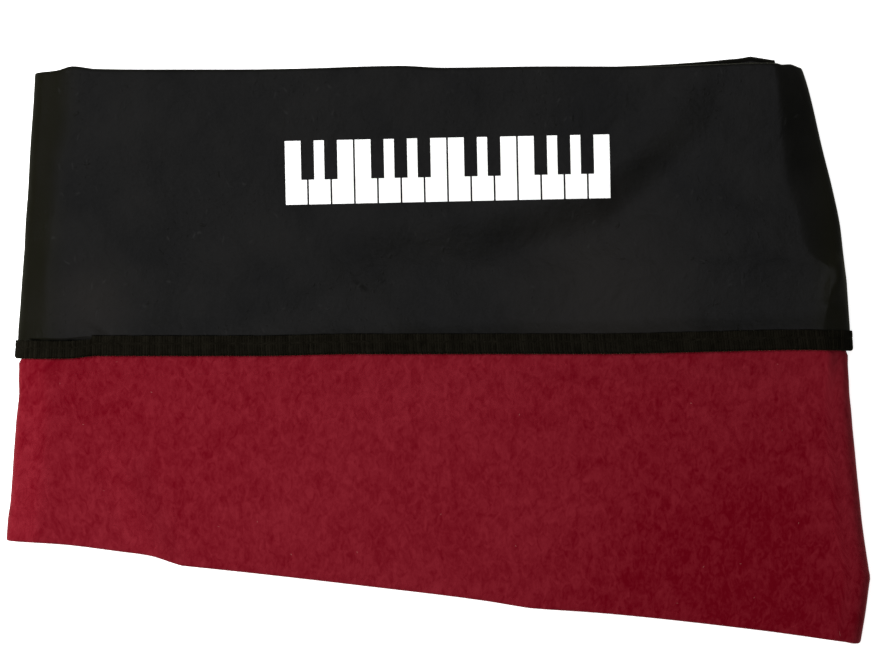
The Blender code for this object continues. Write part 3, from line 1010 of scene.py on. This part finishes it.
def repeatAlong(path, unit, material, spacing, sway, seed):
    g = Growth(path.name + "Growth")
    g.setting("Unit", "Object", unit)
    g.setting("Spacing", "Float", spacing)
    g.setting("Sway", "Float", sway)
    g.setting("Seed", "Int", seed)
    g.setting("Material", "Material", material)
    given = g.start()
    line = g.node("GeometryNodeMeshToCurve", {}, {"Mesh": given["Geometry"]})
    line = g.node("GeometryNodeResampleCurve", {"mode": "LENGTH"},
                  {"Curve": line, "Length": given["Spacing"]})
    outward = g.node("GeometryNodeInputNamedAttribute", {"data_type": "FLOAT_VECTOR"}, {"Name": "outward"})
    across = g.node("GeometryNodeInputNamedAttribute", {"data_type": "FLOAT_VECTOR"}, {"Name": "across"})
    size = g.node("ShaderNodeVectorMath", {"operation": "LENGTH"}, {0: across}, output=1)
    turned = g.node("FunctionNodeAxesToRotation", {"primary_axis": "Z", "secondary_axis": "Y"},
                    {"Primary Axis": outward, "Secondary Axis": across})
    less = g.node("ShaderNodeMath", {"operation": "MULTIPLY"}, {0: given["Sway"], 1: -1.0})
    swing = g.node("FunctionNodeRandomValue", {"data_type": "FLOAT"},
                   {2: less, 3: given["Sway"], "Seed": given["Seed"]}, output=1)
    swing = g.node("ShaderNodeCombineXYZ", {}, {"Z": swing})
    turned = g.node("FunctionNodeRotateRotation", {"rotation_space": "LOCAL"},
                    {"Rotation": turned, "Rotate By": swing})
    shape = g.node("GeometryNodeObjectInfo", {"transform_space": "ORIGINAL"},
                   {"Object": given["Unit"]}, output=4)
    scale = g.node("ShaderNodeCombineXYZ", {}, {"X": 1.0, "Y": size, "Z": 1.0})
    made = g.node("GeometryNodeInstanceOnPoints", {},
                  {"Points": line, "Instance": shape, "Rotation": turned, "Scale": scale})
    tone = g.node("FunctionNodeRandomValue", {"data_type": "FLOAT"}, {"Seed": given["Seed"]}, output=1)
    made = g.node("GeometryNodeStoreNamedAttribute", {"data_type": "FLOAT", "domain": "INSTANCE"},
                  {"Geometry": made, "Name": "threadTone", "Value": tone})
    made = g.node("GeometryNodeRealizeInstances", {}, {"Geometry": made})
    made = g.node("GeometryNodeSetMaterial", {}, {"Geometry": made, "Material": given["Material"]})
    g.grow(path, made)
    bpy.data.objects.remove(unit)
    return path


shown = [c for c in tapeColumns if c.turn is not None or c.third == "top"]


def tapeLine(column, shares, lift):  # points over the tape's face, at shares of its width from the front hem
    edge, width = tapeEdgeOf(column)
    face = stack - layers["sheet"] / 2 + tapeTurn + tape["outside"] + lift
    return column.point(edge + width * np.array(shares), np.full(len(shares), face))


def tapePath(name, share, lift):  # along the tape at a share of its width
    ends = np.array([tapeLine(column, (0, 1, share), lift) for column in shown])
    line = ends[:, 2]
    across = (ends[:, 1] - ends[:, 0]) / (tape["width"] * mm)
    outward = np.cross(np.gradient(line, axis=0), across)
    outward /= np.linalg.norm(outward, axis=1)[:, None]
    return linesMesh(name, line[None], dict(outward=outward[None], across=across[None]))


def unitMesh(name, rings):  # rings of points joined in a row, smooth
    rings = np.array(rings) * mm
    count, size = rings.shape[:2]
    index = np.arange(count * size).reshape(count, size)
    quads = np.stack((index[:-1, :-1], index[:-1, 1:], index[1:, 1:], index[1:, :-1]), axis=-1)
    quads = quads.reshape(-1, 4)
    mesh = bpy.data.meshes.new(name)
    mesh.from_pydata(rings.reshape(-1, 3), [], quads.tolist())
    mesh.shade_smooth()
    return newObject(name, mesh)


rib = dict(
    pitch=1.4,
    swing=0.15,
    radius=0.42,
    rise=0.2,
    # its points on the tape's face: shares of the width from the front hem, and how far each is pressed in
    upper=((1.0, 0.4), (0.985, 0), (0.87, 0), (0.76, 0)),
    atSeam=((1.3, 0), (0.5, 0.2), (-0.5, 0.2), (-1.3, 0)),  # in seamReach from the seam
    lower=((0.42, 0), (0.31, 0), (0.2, 0)),
    turn=dict(step=18, count=9),  # round the hem, in degrees
    seam=0.63,
    seamReach=0.07,
    seed=4,
)
stitch = dict(
    pitch=3.0,
    length=2.1,
    halfWidth=0.28,
    rise=0.16,
    sunk=0.05,
    rings=(-1, -0.8, -0.3, 0.3, 0.8, 1),  # shares of half its length
    blunt=0.02,
    lift=0.05,
    sway=0.08,
    seed=9,
)


def ribLines():  # from the tape's upper edge over its face and round the hem, one line for each rib
    sunk = rib["rise"] - rib["radius"]
    atSeam = [(rib["seam"] + away * rib["seamReach"], dip) for away, dip in rib["atSeam"]]
    onFace = [*rib["upper"], *atSeam, *rib["lower"]]
    radius = tapeTurn + tape["outside"] + sunk
    turns = [math.radians(rib["turn"]["step"] * k) for k in range(rib["turn"]["count"])]
    middle = stack - layers["sheet"] / 2
    lines = []
    for column in shown:
        edge, width = tapeEdgeOf(column)
        y = [edge + width * share for share, dip in onFace]
        y += [edge + tapeEdge - radius * math.sin(a) for a in turns]
        h = [middle + radius - dip for share, dip in onFace]
        h += [middle + radius * math.cos(a) for a in turns]
        lines.append(column.point(np.array(y), np.array(h)))
    lines = np.array(lines)
    length = np.concatenate(([0], np.cumsum(np.linalg.norm(np.diff(lines[:, 0], axis=0), axis=1)))) / mm
    chance = np.random.default_rng(rib["seed"])
    places = np.arange(rib["pitch"], length[-1], rib["pitch"])
    places = places + chance.uniform(-rib["swing"], rib["swing"], len(places))
    k = np.clip(np.searchsorted(length, places) - 1, 0, len(length) - 2)
    share = ((places - length[k]) / (length[k + 1] - length[k]))[:, None, None]
    ribs = mix(lines[k], lines[k + 1], share)
    tones = np.repeat(chance.uniform(0, 1, len(places))[:, None], ribs.shape[1], axis=1)
    return linesMesh("tapeRibs", ribs, dict(threadTone=tones))


def sweep(lines, radius, material):  # a round thread along every line
    g = Growth(lines.name + "Growth")
    g.setting("Radius", "Float", radius)
    g.setting("Material", "Material", material)
    given = g.start()
    curves = g.node("GeometryNodeMeshToCurve", {}, {"Mesh": given["Geometry"]})
    ring = g.node("GeometryNodeCurvePrimitiveCircle", {}, {"Resolution": 6, "Radius": given["Radius"]})
    made = g.node("GeometryNodeCurveToMesh", {}, {"Curve": curves, "Profile Curve": ring, "Fill Caps": True})
    made = g.node("GeometryNodeSetShadeSmooth", {}, {"Geometry": made})
    made = g.node("GeometryNodeRealizeInstances", {}, {"Geometry": made})
    made = g.node("GeometryNodeSetMaterial", {}, {"Geometry": made, "Material": given["Material"]})
    g.grow(lines, made)
    return lines


def stitchUnit():
    rings = []
    for share in stitch["rings"]:
        width = stitch["halfWidth"] * math.sqrt(max(stitch["blunt"], 1 - share * share))
        height = stitch["rise"] * (1 - share ** 4) - stitch["sunk"]
        rings.append([(share * stitch["length"] / 2, y * width, up * height - stitch["sunk"])
                      for y, up in ((1, 0), (0.6, 0.8), (0, 1), (-0.6, 0.8), (-1, 0))])
    return unitMesh("stitchUnit", rings)


threads = webbingMaterial("tapeThreads", "threadTone")
ribs = sweep(ribLines(), rib["radius"] * mm, threads)
finished(ribs, None)
seamLine = tapePath("tapeStitches", rib["seam"], stitch["lift"])
stitches = repeatAlong(seamLine, stitchUnit(), threads, stitch["pitch"] * mm, stitch["sway"], stitch["seed"])
finished(stitches, None)
print("ribs", len(ribs.data.polygons), "stitches", len(stitches.data.polygons))

studio = dict(
    floor=(0.95, 0.95, 0.95),
    floorSize=8,
    floorDrop=0.0002,
    floorGlow=0.8,
    world=0.17,
    overhead=0.80,  # the light that the black cloth reflects, a wide soft disc left of the zenith
    overheadSpread=38.0,
    overheadTilt=(4.0, -9.0),  # degrees to the rear and to the left
    keyPower=28.5,  # it lights the cloth from the left, without a reflection of its own
    keyPlace=(-0.95, 0.15, 1.05),
    keySize=(0.6, 0.6),
)
view = dict(distance=3.4, across=0.4834, aim=(0.00153, 0.01093), surface=0.012, sensor=36)


def makeFloor():
    bpy.ops.mesh.primitive_plane_add(size=studio["floorSize"], location=(0, 0, 0))
    floor = bpy.context.object
    floor.name = "floor"
    floor.location.z = -studio["floorDrop"]
    floor.visible_glossy = False
    s = Shader("paleFloor")
    floor.data.materials.append(s.set(
        Base_Color=(*studio["floor"], 1),
        Roughness=0.9,
        Specular_IOR_Level=0.1,
        Emission_Color=(*studio["floor"], 1),
        Emission_Strength=studio["floorGlow"],
    ))


def addLight(name, data, place, reflected):
    light = newObject(name, data)
    light.location = place
    light.rotation_euler = (-light.location).to_track_quat("-Z", "Y").to_euler()
    light.visible_camera = False
    light.visible_glossy = reflected


def keyLight():
    data = bpy.data.lights.new("keyLight", "AREA")
    data.shape = "RECTANGLE"
    data.size, data.size_y = studio["keySize"]
    data.energy = studio["keyPower"]
    addLight("keyLight", data, studio["keyPlace"], reflected=False)


def overheadLight():
    data = bpy.data.lights.new("overheadLight", "SUN")
    data.energy = studio["overhead"]
    data.angle = math.radians(studio["overheadSpread"])
    rear, left = (math.tan(math.radians(a)) for a in studio["overheadTilt"])
    addLight("overheadLight", data, (left, rear, 1), reflected=True)


def makeCamera():
    data = bpy.data.cameras.new("overhead")
    data.sensor_width = view["sensor"]
    data.lens = data.sensor_width * (view["distance"] - view["surface"]) / view["across"]
    camera = newObject("overhead", data)
    camera.location = (*view["aim"], view["distance"])
    bpy.context.scene.camera = camera


makeFloor()
keyLight()
overheadLight()
makeCamera()
world = bpy.data.worlds.new("studio")
world.use_nodes = True
background = world.node_tree.nodes["Background"].inputs
background["Color"].default_value = (1, 1, 1, 1)
background["Strength"].default_value = studio["world"]
bpy.context.scene.world = world
bpy.context.scene.view_settings.view_transform = "Standard"
print("studio ready")
